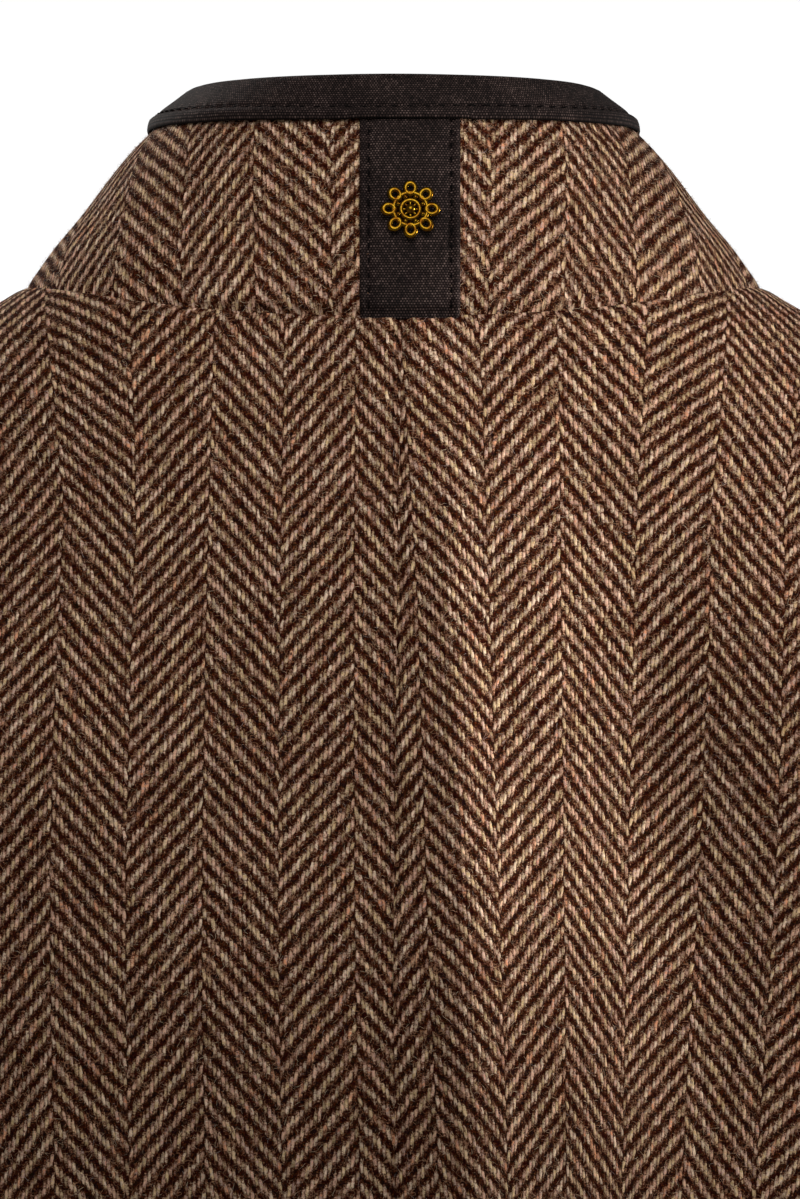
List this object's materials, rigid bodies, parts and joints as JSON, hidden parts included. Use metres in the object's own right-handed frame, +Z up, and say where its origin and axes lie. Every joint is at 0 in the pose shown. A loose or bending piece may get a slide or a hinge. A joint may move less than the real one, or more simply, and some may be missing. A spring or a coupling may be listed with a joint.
{
  "type": "tweed vest",
  "caption": "Sleeveless herringbone tweed vest, worn form, hollow, with a bound stand collar, a dark centre back tab and a buttoned front.",
  "frame": {"origin": "midway between the two points where the neck seam crosses the shoulder seams", "axes": "+Z up the body, -Y the way the vest faces, +Y behind its back, +X towards the wearer's left"},
  "size_m": [0.38, 0.2647, 0.6397],
  "materials": {
    "tweed": "brown herringbone wool tweed, slightly hairy",
    "trim": "dark brown-black plain-weave cotton",
    "gilt": "polished gilt metal",
    "horn": "dark polished horn"
  },
  "bodies": {
    "root": {"back_left": "tweed", "back_right": "tweed", "front_left": "tweed", "front_right": "tweed", "collar_stand": "tweed", "collar_binding": "trim", "collar_tab": "trim", "collar_rosette": "gilt", "button_1": "horn", "button_2": "horn", "button_3": "horn", "button_4": "horn", "button_5": "horn"}
  },
  "joints": []
}
